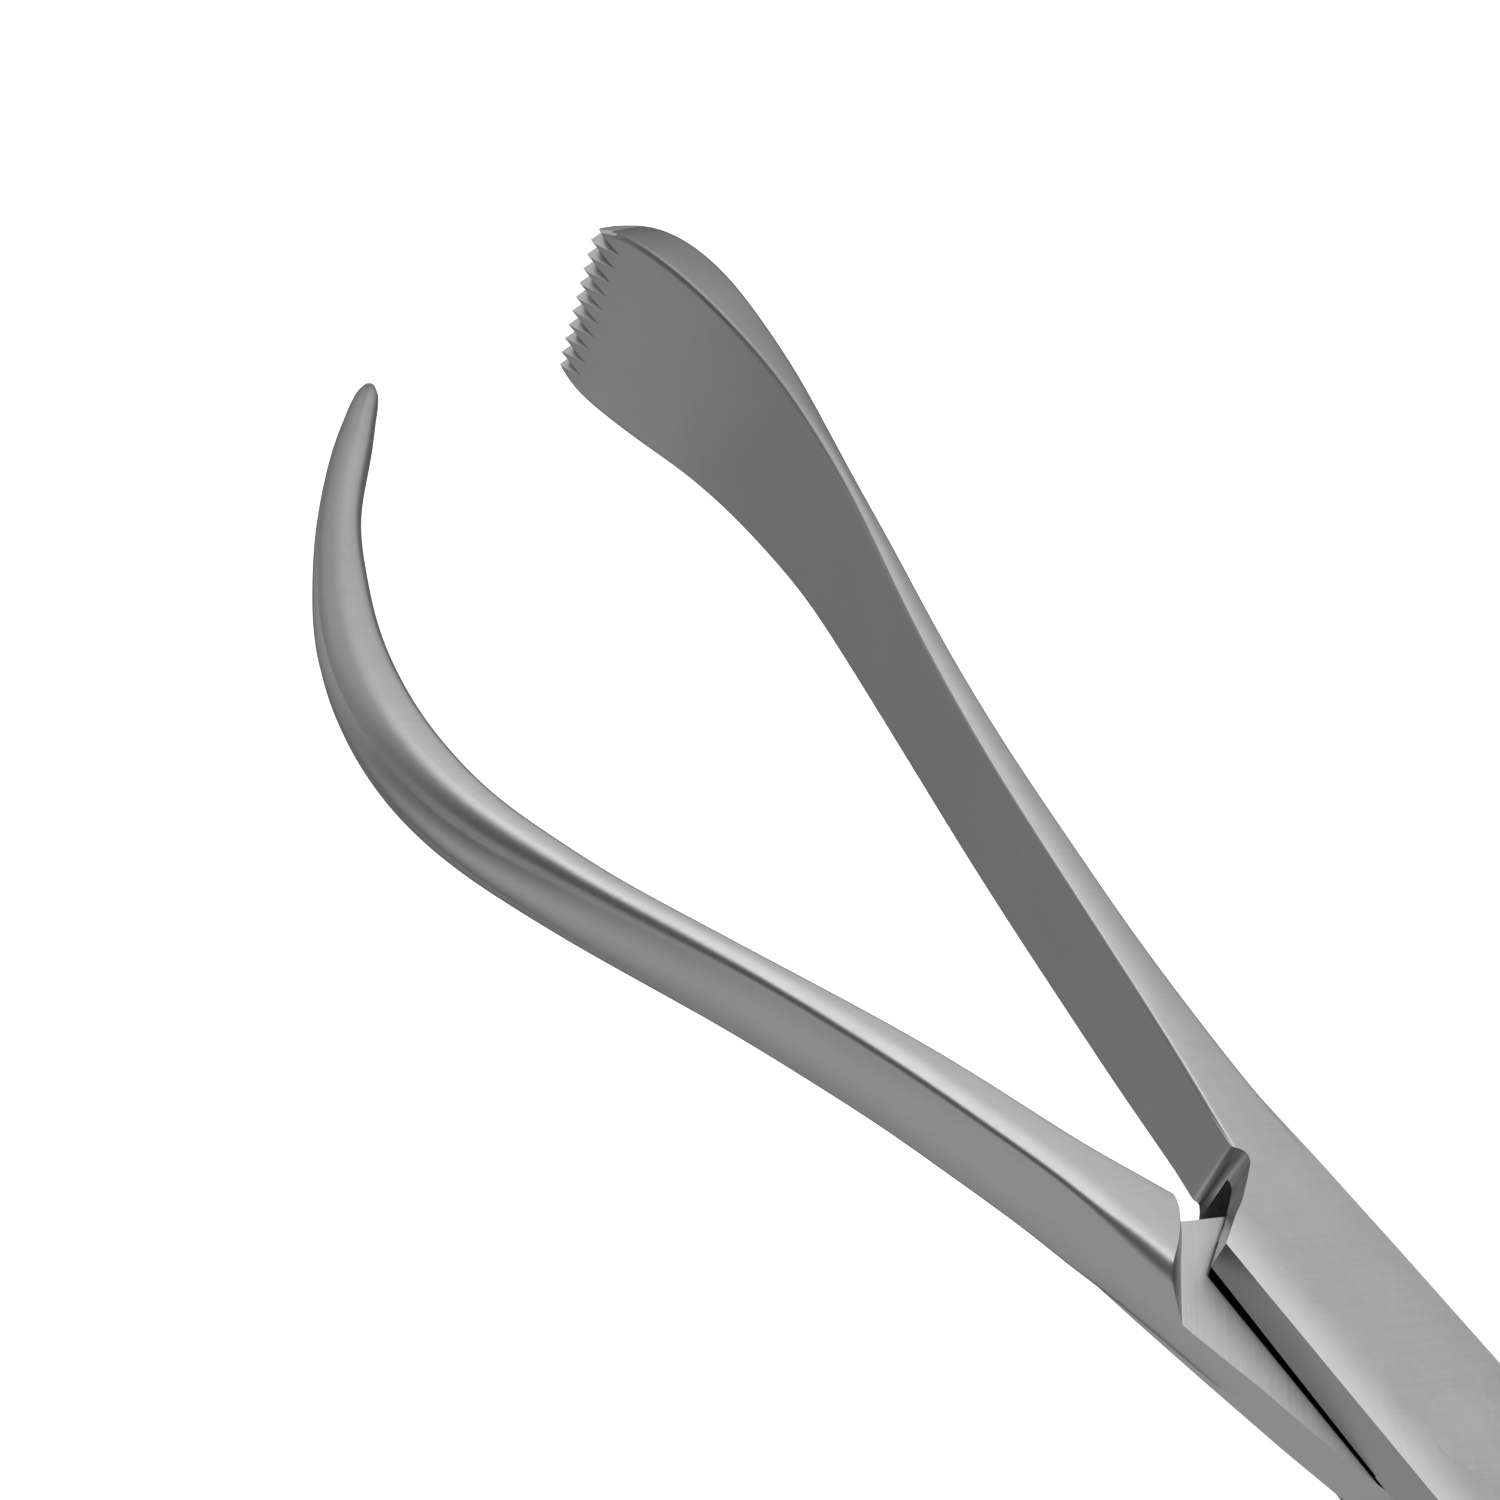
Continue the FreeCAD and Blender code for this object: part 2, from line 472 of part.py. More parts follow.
edges.append(Part.Arc(pol(RI, BAR_END_DEG - 0.55), pol(RI, BAR_END_DEG / 2), pol(RI, 0.0)).toShape())
edges.append(Part.makeLine(pol(RI, 0.0), pol(RO, 0.0)))
bar = Part.Face(Part.Wire(edges)).extrude(V(0, 0, BAR_Z))
bar = bar.fuse(Part.makeCylinder(HEEL_R, BAR_Z, heel_c, V(0, 0, 1)))
bar.translate(V(0, 0, -BAR_Z / 2))
bar = bar.cut(Part.makeCylinder(SCREW_D / 2 + SLOT_CLEAR, 12, V(HX, HY, -6), V(0, 0, 1)))
PIN_B = BAR_END_DEG - 1.0
PIN_R = 0.8
pin_c = pol(RATCHET_R, PIN_B)
bar = bar.cut(Part.makeCylinder(PIN_R, 12, V(pin_c.x, pin_c.y, -6), V(0, 0, 1)))
bar = rot_z(biggest(bar).removeSplitter(), -HALF_OPEN)
pin = Part.makeCylinder(PIN_R, 6.4, V(pin_c.x, pin_c.y, -3.2), V(0, 0, 1))
pin = pin.makeFillet(0.25, [e_ for e_ in pin.Edges if e_.Length > 4 and e_.Curve.TypeId == 'Part::GeomCircle'])
pin = rot_z(biggest(pin), -HALF_OPEN)

# ---------------------------------------------------------------- ratchet screw
scr = Part.makeCylinder(SCREW_D / 2, TOPZ - HEAD_H + TOPZ + 0.2, V(HX, HY, -TOPZ + 0.1), V(0, 0, 1))
scr = scr.fuse(Part.makeCylinder(HEAD_R, HEAD_H + 0.15, V(HX, HY, TOPZ - HEAD_H), V(0, 0, 1)))
scr = scr.cut(Part.makeBox(8, 0.7, 1.0, V(HX - 4, HY - 0.35, TOPZ - 0.55)))
scr = rot_z(biggest(scr).removeSplitter(), -HALF_OPEN)

# ---------------------------------------------------------------- hinge rivet
rivet = Part.makeCylinder(RIVET_D / 2, H - CHEEK_Z, V(0, 0, CHEEK_Z), V(0, 0, 1))

parts = {
    "plate_arm": plate,
    "hook_arm": hook,
    "hinge_rivet": rivet,
    "ratchet_bar": bar,
    "ratchet_screw": scr,
    "ratchet_stop_pin": pin,
    "ratchet_spring": spring,
    "spring_screw": sscrew,
}
lo, hi = [1e9] * 3, [-1e9] * 3
for name, s in parts.items():
    s = s.mirror(V(0, 0, 0), V(0, 1, 0))
    parts[name] = s
    for p in s.tessellate(0.02)[0]:
        for i, c in enumerate((p.x, p.y, p.z)):
            lo[i] = min(lo[i], c)
            hi[i] = max(hi[i], c)
print("low", lo, "high", hi)
print("origin wanted", [-(lo[0] + hi[0]) / 2, -(lo[1] + hi[1]) / 2, -lo[2]])
for name, s in parts.items():
    s = s.copy()
    s.translate(V(*ORIGIN))
    print(name, s.ShapeType, len(s.Solids), "valid", s.isValid(), "vol %.1f" % s.Volume,
          "faces", len(s.Faces))
    s.exportStep("parts/%s.step" % name)
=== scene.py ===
import bpy
import bmesh
import numpy as np
import math
from mathutils import Vector, Matrix


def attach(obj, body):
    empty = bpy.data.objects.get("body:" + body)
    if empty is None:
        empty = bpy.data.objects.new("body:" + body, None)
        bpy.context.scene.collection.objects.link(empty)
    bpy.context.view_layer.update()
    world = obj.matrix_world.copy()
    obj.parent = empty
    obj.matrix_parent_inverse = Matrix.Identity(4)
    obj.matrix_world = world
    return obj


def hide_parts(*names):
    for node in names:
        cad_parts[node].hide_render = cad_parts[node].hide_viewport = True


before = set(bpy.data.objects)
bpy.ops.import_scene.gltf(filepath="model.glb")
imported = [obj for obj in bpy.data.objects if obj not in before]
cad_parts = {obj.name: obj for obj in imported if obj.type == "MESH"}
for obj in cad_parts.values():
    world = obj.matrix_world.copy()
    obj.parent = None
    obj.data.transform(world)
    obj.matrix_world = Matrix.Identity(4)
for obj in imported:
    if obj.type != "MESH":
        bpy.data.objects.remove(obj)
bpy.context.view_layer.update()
scene = bpy.context.scene

HINGE = Vector((0.021070, -0.006186, 0.008330))

# ------------------------------------------------------------------ camera
cam_data = bpy.data.cameras.new("camera")
cam_data.type = "PERSP"
cam_data.sensor_width = 36.0
cam_data.lens = 67.2
cam_data.clip_start = 0.005
cam_data.clip_end = 50.0
cam = bpy.data.objects.new("camera", cam_data)
scene.collection.objects.link(cam)
right = Vector((-0.6585509679361048, -0.6967305063014211, 0.28438921255804483))
up = Vector((0.6471268253589286, -0.33142097774044543, 0.6865762939502368))
fwd = Vector((0.38410609801367923, -0.6361813712319251, -0.6691306063588582))
rot = Matrix((right, up, -fwd)).transposed()
cam.matrix_world = Matrix.Translation(Vector((0.011230565855, 0.120524903683, 0.142857895423))) @ rot.to_4x4()
scene.camera = cam
scene.view_settings.view_transform = "Standard"
scene.view_settings.look = "None"
scene.view_settings.exposure = 0.0
scene.view_settings.gamma = 1.0


# ------------------------------------------------------------------ node help
def tree(mat):
    mat.use_nodes = True
    nt = mat.node_tree
    nt.nodes.clear()
    return nt


def node(nt, kind, **kw):
    n = nt.nodes.new(kind)
    for k, v in kw.items():
        setattr(n, k, v)
    return n


def steel(name, base=0.60, rough=0.34, grain_axis=(1.0, 0.0, 0.0), grain=1.0, spread=0.03, aniso=0.0):
    """satin ground stainless steel; grain_axis is the direction the belt ran"""
    m = bpy.data.materials.new(name)
    nt = tree(m)
    out = node(nt, "ShaderNodeOutputMaterial")
    bs = node(nt, "ShaderNodeBsdfPrincipled")
    bs.inputs["Metallic"].default_value = 1.0
    nt.links.new(bs.outputs[0], out.inputs[0])
    tc = node(nt, "ShaderNodeTexCoord")
    # turn the coordinates so the grain direction is the first axis
    g = Vector(grain_axis).normalized()
    rotm = g.rotation_difference(Vector((1, 0, 0))).to_euler()
    mp = node(nt, "ShaderNodeMapping")
    mp.inputs["Rotation"].default_value = rotm
    nt.links.new(tc.outputs["Object"], mp.inputs["Vector"])
    # long fine scratches
    m1 = node(nt, "ShaderNodeMapping")
    m1.inputs["Scale"].default_value = (220.0, 5200.0, 5200.0)
    nt.links.new(mp.outputs[0], m1.inputs["Vector"])
    n1 = node(nt, "ShaderNodeTexNoise")
    n1.inputs["Scale"].default_value = 1.0
    n1.inputs["Detail"].default_value = 3.0
    n1.inputs["Roughness"].default_value = 0.6
    nt.links.new(m1.outputs[0], n1.inputs["Vector"])
    # broad mottling left by hand polishing
    n2 = node(nt, "ShaderNodeTexNoise")
    n2.inputs["Scale"].default_value = 160.0
    n2.inputs["Detail"].default_value = 4.0
    n2.inputs["Roughness"].default_value = 0.55
    nt.links.new(tc.outputs["Object"], n2.inputs["Vector"])
    # fine pitting
    n3 = node(nt, "ShaderNodeTexNoise")
    n3.inputs["Scale"].default_value = 3600.0
    n3.inputs["Detail"].default_value = 2.0
    nt.links.new(tc.outputs["Object"], n3.inputs["Vector"])
    cr = node(nt, "ShaderNodeValToRGB")
    cr.color_ramp.elements[0].position = 0.32
    cr.color_ramp.elements[0].color = (base - spread, base - spread, base - spread, 1)
    cr.color_ramp.elements[1].position = 0.68
    cr.color_ramp.elements[1].color = (base + spread, base + spread, base + spread, 1)
    mx = node(nt, "ShaderNodeMath", operation="ADD")
    a = node(nt, "ShaderNodeMath", operation="MULTIPLY")
    a.inputs[1].default_value = 0.55
    b = node(nt, "ShaderNodeMath", operation="MULTIPLY")
    b.inputs[1].default_value = 0.45
    nt.links.new(n1.outputs["Fac"], a.inputs[0])
    nt.links.new(n2.outputs["Fac"], b.inputs[0])
    nt.links.new(a.outputs[0], mx.inputs[0])
    nt.links.new(b.outputs[0], mx.inputs[1])
    nt.links.new(mx.outputs[0], cr.inputs["Fac"])
    nt.links.new(cr.outputs["Color"], bs.inputs["Base Color"])
    rr = node(nt, "ShaderNodeMapRange")
    rr.inputs["From Min"].default_value = 0.3
    rr.inputs["From Max"].default_value = 0.7
    rr.inputs["To Min"].default_value = rough - 0.05
    rr.inputs["To Max"].default_value = rough + 0.06
    nt.links.new(mx.outputs[0], rr.inputs["Value"])
    nt.links.new(rr.outputs[0], bs.inputs["Roughness"])
    b1 = node(nt, "ShaderNodeBump")
    b1.inputs["Strength"].default_value = 0.10 * grain
    b1.inputs["Distance"].default_value = 0.00003
    nt.links.new(n1.outputs["Fac"], b1.inputs["Height"])
    b2 = node(nt, "ShaderNodeBump")
    b2.inputs["Strength"].default_value = 0.06
    b2.inputs["Distance"].default_value = 0.00004
    nt.links.new(n3.outputs["Fac"], b2.inputs["Height"])
    nt.links.new(b1.outputs["Normal"], b2.inputs["Normal"])
    b3 = node(nt, "ShaderNodeBump")
    b3.inputs["Strength"].default_value = 0.18
    b3.inputs["Distance"].default_value = 0.0004
    nt.links.new(n2.outputs["Fac"], b3.inputs["Height"])
    nt.links.new(b2.outputs["Normal"], b3.inputs["Normal"])
    nt.links.new(b3.outputs["Normal"], bs.inputs["Normal"])
    return m


def milled(name, base, rough, metal, axis, spread):
    """flat milled face, paler than the ground outside, with fine tool lines; a near-black painted shade band darkens it
    where the plate arm covers it in the rest pose
    """
    m = bpy.data.materials.new(name)
    nt = tree(m)
    out = node(nt, "ShaderNodeOutputMaterial")
    bs = node(nt, "ShaderNodeBsdfPrincipled")
    bs.inputs["Metallic"].default_value = metal
    bs.inputs["Roughness"].default_value = rough
    nt.links.new(bs.outputs[0], out.inputs[0])
    tc = node(nt, "ShaderNodeTexCoord")
    mp = node(nt, "ShaderNodeMapping")
    mp.inputs["Rotation"].default_value = Vector(axis).normalized().rotation_difference(Vector((1, 0, 0))).to_euler()
    nt.links.new(tc.outputs["Object"], mp.inputs["Vector"])
    sc = node(nt, "ShaderNodeMapping")
    sc.inputs["Scale"].default_value = (90.0, 3600.0, 3600.0)
    nt.links.new(mp.outputs[0], sc.inputs["Vector"])
    n = node(nt, "ShaderNodeTexNoise")
    n.inputs["Scale"].default_value = 1.0
    n.inputs["Detail"].default_value = 3.0
    nt.links.new(sc.outputs[0], n.inputs["Vector"])
    cr = node(nt, "ShaderNodeValToRGB")
    cr.color_ramp.elements[0].position = 0.36
    cr.color_ramp.elements[0].color = (base - 2 * spread, base - 2 * spread, base - 2 * spread, 1)
    cr.color_ramp.elements[1].position = 0.62
    cr.color_ramp.elements[1].color = (base + spread * 0.5, base + spread * 0.5, base + spread * 0.5, 1)
    nt.links.new(n.outputs["Fac"], cr.inputs["Fac"])
    nt.links.new(cr.outputs["Color"], bs.inputs["Base Color"])
    b = node(nt, "ShaderNodeBump")
    b.inputs["Strength"].default_value = 0.15
    b.inputs["Distance"].default_value = 0.00003
    nt.links.new(n.outputs["Fac"], b.inputs["Height"])
    nt.links.new(b.outputs["Normal"], bs.inputs["Normal"])
    # painted shade: a near-black band on the part that the plate arm covers, laid out in the rest pose, standing in for
    # the shadow under the plate's flank
    ca, sa = math.cos(math.radians(7.84)), math.sin(math.radians(7.84))
    hx, hy = HINGE.x, HINGE.y

    def side(nx, ny, off, soft):
        # plate-arm coordinates: xp = ca X - sa Y, yp = -sa X - ca Y, from the hinge
        d = node(nt, "ShaderNodeVectorMath", operation="DOT_PRODUCT")
        wx, wy = nx * ca - ny * sa, -nx * sa - ny * ca
        d.inputs[1].default_value = (wx, wy, 0.0)
        nt.links.new(tc.outputs["Object"], d.inputs[0])
        r = node(nt, "ShaderNodeMapRange")
        base0 = wx * hx + wy * hy + off
        r.inputs["From Min"].default_value = base0
        r.inputs["From Max"].default_value = base0 + soft
        nt.links.new(d.outputs["Value"], r.inputs["Value"])
        return r

    inside = side(0.0, 1.0, -0.00606, 0.00010)
    front = side(-0.83, 0.56, -0.83 * 0.0176 - 0.56 * 0.0058, 0.0003)
    painted_shade_mask = node(nt, "ShaderNodeMath", operation="MULTIPLY")
    nt.links.new(inside.outputs[0], painted_shade_mask.inputs[0])
    nt.links.new(front.outputs[0], painted_shade_mask.inputs[1])
    inv = node(nt, "ShaderNodeMath", operation="MULTIPLY_ADD")
    nt.links.new(painted_shade_mask.outputs[0], inv.inputs[0])
    inv.inputs[1].default_value = -0.97
    inv.inputs[2].default_value = 1.0
    sc2 = node(nt, "ShaderNodeVectorMath", operation="SCALE")
    nt.links.new(cr.outputs["Color"], sc2.inputs[0])
    nt.links.new(inv.outputs[0], sc2.inputs["Scale"])
    nt.links.new(sc2.outputs[0], bs.inputs["Base Color"])
    mm = node(nt, "ShaderNodeMath", operation="MAXIMUM")
    nt.links.new(painted_shade_mask.outputs[0], mm.inputs[0])
    mm.inputs[1].default_value = metal
    nt.links.new(mm.outputs[0], bs.inputs["Metallic"])
    return m


# the tongue material also carries the painted shade band under the plate's flank
tongue_mat = milled("milled_steel_tongue_painted_shade", 0.95, 0.42, 0.50, (0.65, -0.76, 0.0), 0.035)

# painted shade: near-black steel for the slot's ceiling and back wall under the lapped half, standing in for the shadow
# in the gap
painted_shade_gap_mat = steel("painted_shade_in_gap", 0.05, 0.55, (1.0, 0.0, 0.0), spread=0.02)
# painted shade: plate steel whose colour falls to 60% between x 0.082 and 0.112 m, so the jaw's near face darkens
# towards the tip
tip_shade_edge_mat = steel("steel_edge_painted_shade", 0.575, 0.36, (0.45, 0.89, 0.0))
_nt = tip_shade_edge_mat.node_tree
_bs = [q for q in _nt.nodes if q.bl_idname == "ShaderNodeBsdfPrincipled"][0]
_src = _bs.inputs["Base Color"].links[0].from_socket
_tc = node(_nt, "ShaderNodeTexCoord")
_sep = node(_nt, "ShaderNodeSeparateXYZ")
_nt.links.new(_tc.outputs["Object"], _sep.inputs[0])
_mr = node(_nt, "ShaderNodeMapRange")
_mr.inputs["From Min"].default_value = 0.082
_mr.inputs["From Max"].default_value = 0.112
_mr.inputs["To Min"].default_value = 1.0
_mr.inputs["To Max"].default_value = 0.60
_nt.links.new(_sep.outputs["X"], _mr.inputs["Value"])
_vs = node(_nt, "ShaderNodeVectorMath", operation="SCALE")
_nt.links.new(_src, _vs.inputs[0])
_nt.links.new(_mr.outputs[0], _vs.inputs["Scale"])
_nt.links.new(_vs.outputs[0], _bs.inputs["Base Color"])
# painted highlight and painted shade: a bright copy of the steel for tooth groove walls facing up and a dark copy for
# those facing down
groove_painted_highlight = steel("file_cut_painted_highlight", 0.92, 0.32, (0.0, 1.0, 0.0))
groove_painted_shade = steel("file_cut_painted_shade", 0.20, 0.42, (0.0, 1.0, 0.0))

mats = {
    # painted shade: the plate arm's base colour is a little darker than the hook arm's, standing in for the darker
    # reflections its faces catch
    "plate_arm": steel("satin_steel_plate_arm", 0.575, 0.33, (0.45, 0.89, 0.0)),
    "hook_arm": steel("satin_steel_hook_arm", 0.62, 0.36, (0.45, 0.89, 0.0)),
    "hinge_rivet": steel("turned_steel_rivet", 0.60, 0.30, (0.45, 0.89, 0.0)),
    "ratchet_bar": steel("satin_steel_bar", 0.58, 0.32, (0.0, 1.0, 0.0)),
    "ratchet_screw": steel("turned_steel_screw", 0.62, 0.25, (1.0, 0.0, 0.0)),
    "ratchet_stop_pin": steel("turned_steel_pin", 0.62, 0.25, (0.0, 0.0, 1.0)),
    "ratchet_spring": steel("spring_steel", 0.55, 0.22, (1.0, 0.0, 0.0)),
    "spring_screw": steel("turned_steel_small_screw", 0.62, 0.25, (1.0, 0.0, 0.0)),
}
for name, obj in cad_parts.items():
    obj.data.materials.clear()
    obj.data.materials.append(mats[name])


# ------------------------------------------------------------------ mesh help
# The arms are drawn here in millimetres about the hinge, opposite-handed and
# closed, then opened, mirrored in Y and moved to the row frame by place().
T = 6.2
H = T / 2.0
G = 0.06
HW = 5.7
V_X = 22.0
SH_X = 18.0
HALF_OPEN = 7.84


def new_obj(name, verts, faces):
    me = bpy.data.meshes.new(name)
    me.from_pydata([tuple(v) for v in verts], [], faces)
    bm = bmesh.new()
    bm.from_mesh(me)
    bmesh.ops.recalc_face_normals(bm, faces=bm.faces)
    bm.to_mesh(me)
    bm.free()
    ob = bpy.data.objects.new(name, me)
    scene.collection.objects.link(ob)
    return ob


def prism(pts, z0, z1):
    n = len(pts)
    v = [(x, y, z0) for x, y in pts] + [(x, y, z1) for x, y in pts]
    f = [tuple(range(n)), tuple(range(n, 2 * n))]
    f += [(i, (i + 1) % n, n + (i + 1) % n, n + i) for i in range(n)]
    return new_obj("cut", v, f)


def sweep(pts3, vec):
    """closed polygon of 3-D points, extruded by vec"""
    n = len(pts3)
    a = [Vector(p) for p in pts3]
    b = [p + Vector(vec) for p in a]
    f = [tuple(range(n)), tuple(range(n, 2 * n))]
    f += [(i, (i + 1) % n, n + (i + 1) % n, n + i) for i in range(n)]
    return new_obj("cut", a + b, f)


def ruled(bottom, top, zb, zt, steps=6, roll=0.0):
    """solid between two outlines with the same number of points"""
    n = len(bottom)
    v, f = [], []
    for k in range(steps + 1):
        u = k / steps
        for (xb, yb), (xt, yt) in zip(bottom, top):
            v.append((xb + (xt - xb) * u, yb + (yt - yb) * u, zb + (zt - zb) * u))
    for k in range(steps):
        for i in range(n):
            j = (i + 1) % n
            f.append((k * n + i, k * n + j, (k + 1) * n + j, (k + 1) * n + i))
    f.append(tuple(range(n)))
    f.append(tuple(range(steps * n, (steps + 1) * n)))
    return new_obj("cut", v, f)


def smooth_line(pts, k=5):
    """Catmull-Rom curve through an open row of points"""
    p = [Vector((a, b)) for a, b in pts]
    p = [2 * p[0] - p[1]] + p + [2 * p[-1] - p[-2]]
    out = []
    for i in range(1, len(p) - 2):
        for j in range(k):
            t = j / k
            q = 0.5 * ((2 * p[i]) + (p[i + 1] - p[i - 1]) * t + (2 * p[i - 1] - 5 * p[i] + 4 * p[i + 1] - p[i + 2]) * t * t
                       + (3 * p[i] - p[i - 1] - 3 * p[i + 1] + p[i + 2]) * t ** 3)
            out.append((q.x, q.y))
    out.append(tuple(pts[-1]))
    return out


def ellipsoid(c, r, rot=0.0, seg=40, rings=20):
    v, f = [(c[0], c[1], c[2] - r[2])], []
    for i in range(1, rings):
        th = math.pi * i / rings
        for j in range(seg):
            a = 2 * math.pi * j / seg
            x, y = r[0] * math.sin(th) * math.cos(a), r[1] * math.sin(th) * math.sin(a)
            v.append((c[0] + x * math.cos(rot) - y * math.sin(rot), c[1] + x * math.sin(rot) + y * math.cos(rot),
                      c[2] - r[2] * math.cos(th)))
    v.append((c[0], c[1], c[2] + r[2]))
    for j in range(seg):
        k = (j + 1) % seg
        f.append((0, 1 + k, 1 + j))
        for i in range(rings - 2):
            f.append((1 + i * seg + j, 1 + i * seg + k, 1 + (i + 1) * seg + k, 1 + (i + 1) * seg + j))
        f.append((1 + (rings - 2) * seg + j, 1 + (rings - 2) * seg + k, len(v) - 1))
    return new_obj("cut", v, f)


def cyl(base, axis, r, length, seg=64):
    axis = Vector(axis).normalized()
    u = axis.orthogonal().normalized()
    w = axis.cross(u)
    base = Vector(base)
    ring = [u * (r * math.cos(2 * math.pi * i / seg)) + w * (r * math.sin(2 * math.pi * i / seg)) for i in range(seg)]
    v = [base + p for p in ring] + [base + axis * length + p for p in ring]
    f = [tuple(range(seg)), tuple(range(seg, 2 * seg))]
    f += [(i, (i + 1) % seg, seg + (i + 1) % seg, seg + i) for i in range(seg)]
    return new_obj("cut", v, f)


def boolean(a, b, op):
    md = a.modifiers.new("b", "BOOLEAN")
    md.object = b
    md.operation = op
    md.solver = "EXACT"
    dg = bpy.context.evaluated_depsgraph_get()
    me = bpy.data.meshes.new_from_object(a.evaluated_get(dg))
    a.modifiers.clear()
    a.data = me
    bpy.data.objects.remove(b)
    return a


def cubic(t, y, tt):
    """natural cubic spline through (t, y), evaluated at tt; y may have columns"""
    t = np.asarray(t, float)
    y = np.asarray(y, float)
    n = len(t)
    h = np.diff(t)
    A = np.zeros((n, n))
    r = np.zeros((n,) + y.shape[1:])
    A[0, 0] = A[-1, -1] = 1.0
    for i in range(1, n - 1):
        A[i, i - 1] = h[i - 1]
        A[i, i] = 2 * (h[i - 1] + h[i])
        A[i, i + 1] = h[i]
        r[i] = 6 * ((y[i + 1] - y[i]) / h[i] - (y[i] - y[i - 1]) / h[i - 1])
    m = np.linalg.solve(A, r)
    k = np.clip(np.searchsorted(t, tt, side="right") - 1, 0, n - 2)
    d = (tt - t[k])[:, None]
    hh = h[k][:, None]
    a = y[k]
    c = m[k] / 2
    e = (m[k + 1] - m[k]) / (6 * hh)
    b = (y[k + 1] - y[k]) / hh - hh * (2 * m[k] + m[k + 1]) / 6
    return a + b * d + c * d * d + e * d ** 3


def profile(nlo, nhi, w, rlo, rhi, blo, bhi, bz, dlo, dhi, bw):
    """points (n, z) round a section; dlo and dhi let the near face fall away
    over the width bw beside its low and high edge"""
    h = w / 2.0
    pts = []
    ns, nt, nc = 14, 16, 5
    for i in range(ns):
        t = i / ns
        z = (-h + rlo) + t * (2 * h - 2 * rlo)
        pts.append((nlo - blo * (1 - (2 * t - 1) ** 2), z))
    for i in range(nc):
        a = math.pi / 2 * i / nc
        pts.append((nlo + rlo - rlo * math.cos(a), h - rlo + rlo * math.sin(a)))
    for i in range(nt):
        t = i / nt
        pts.append((nlo + rlo + t * (nhi - rhi - nlo - rlo), h + bz * (1 - (2 * t - 1) ** 2)))
    for i in range(nc):
        a = math.pi / 2 * i / nc
        pts.append((nhi - rhi + rhi * math.sin(a), h - rhi + rhi * math.cos(a)))
    for i in range(ns):
        t = i / ns
        z = (h - rhi) - t * (2 * h - 2 * rhi)
        pts.append((nhi + bhi * (1 - (2 * t - 1) ** 2), z))
    for i in range(nc):
        a = math.pi / 2 * i / nc
        pts.append((nhi - rhi + rhi * math.cos(a), -h + rhi - rhi * math.sin(a)))
    for i in range(nt):
        t = i / nt
        pts.append((nhi - rhi - t * (nhi - rhi - nlo - rlo), -h - bz * (1 - (2 * t - 1) ** 2)))
    for i in range(nc):
        a = math.pi / 2 * i / nc
        pts.append((nlo + rlo - rlo * math.sin(a), -h + rlo - rlo * math.cos(a)))
    out = []
    for n, z in pts:
        drop = 0.0
        if z > 0:
            tl = max(0.0, 1 - (n - nlo) / bw)
            th = max(0.0, 1 - (nhi - n) / bw)
            drop = (dlo * tl * tl + dhi * th * th) * (z / h)
        out.append((n, z - drop))
    return out


def loft(secs, step=0.8, headings=None):
    """secs: cx, cy, ang, nlo, nhi, w, rlo, rhi, blo, bhi, bz, dlo, dhi, bw"""
    S = np.array(secs, float)
    d = np.hypot(np.diff(S[:, 0]), np.diff(S[:, 1]))
    t = np.concatenate([[0], np.cumsum(d)])
    n = max(8, int(t[-1] / step))
    tt = np.linspace(0, t[-1], n + 1)
    tt = np.unique(np.concatenate([tt, t]))
    Q = cubic(t, S, tt)
    rings = []
    for row in Q:
        cx, cy, ang = row[:3]
        p = [float(q) for q in row[3:]]
        p[3 - 0] = max(p[3], 0.02)
        a = math.radians(ang)
        nx, ny = -math.sin(a), math.cos(a)
        rings.append([(cx + nx * u, cy + ny * u, z) for u, z in profile(*p)])
    m = len(rings[0])
    v = [q for r in rings for q in r]
    f = []
    for i in range(len(rings) - 1):
        for j in range(m):
            k = (j + 1) % m
            f.append((i * m + j, i * m + k, (i + 1) * m + k, (i + 1) * m + j))
    f.append(tuple(range(m)))
    f.append(tuple((len(rings) - 1) * m + j for j in range(m)))
    return new_obj("loft", v, f)


def rotz(ob, deg):
    ob.data.transform(Matrix.Rotation(math.radians(deg), 4, "Z"))


def place(ob, name, smooth=26.0):
    M = Matrix.Translation(HINGE) @ Matrix.Diagonal((0.001, -0.001, 0.001, 1.0))
    ob.data.transform(M)
    ob.data.flip_normals()
    ob.name = name
    ob.data.name = name
    bm = bmesh.new()
    bm.from_mesh(ob.data)
    bmesh.ops.remove_doubles(bm, verts=bm.verts, dist=2e-6)
    bmesh.ops.dissolve_degenerate(bm, edges=bm.edges, dist=2e-6)
    # keep the one body
    left = set(bm.verts)
    best = []
    while left:
        seed = left.pop()
        comp = [seed]
        stack = [seed]
        while stack:
            q = stack.pop()
            for e in q.link_edges:
                o = e.other_vert(q)
                if o in left:
                    left.discard(o)
                    comp.append(o)
                    stack.append(o)
        if len(comp) > len(best):
            best = comp
    keep = set(best)
    bmesh.ops.delete(bm, geom=[q for q in bm.verts if q not in keep], context="VERTS")
    bm.to_mesh(ob.data)
    bm.free()
    me = ob.data
    me.shade_smooth()
    me.set_sharp_from_angle(angle=math.radians(smooth))
    md = ob.modifiers.new("wn", "WEIGHTED_NORMAL")
    md.keep_sharp = True
    md.mode = "FACE_AREA_WITH_ANGLE"
    md.weight = 50
    return ob


# ------------------------------------------------------------------ tables
HOOK_DROP = (0.22, 0.10)
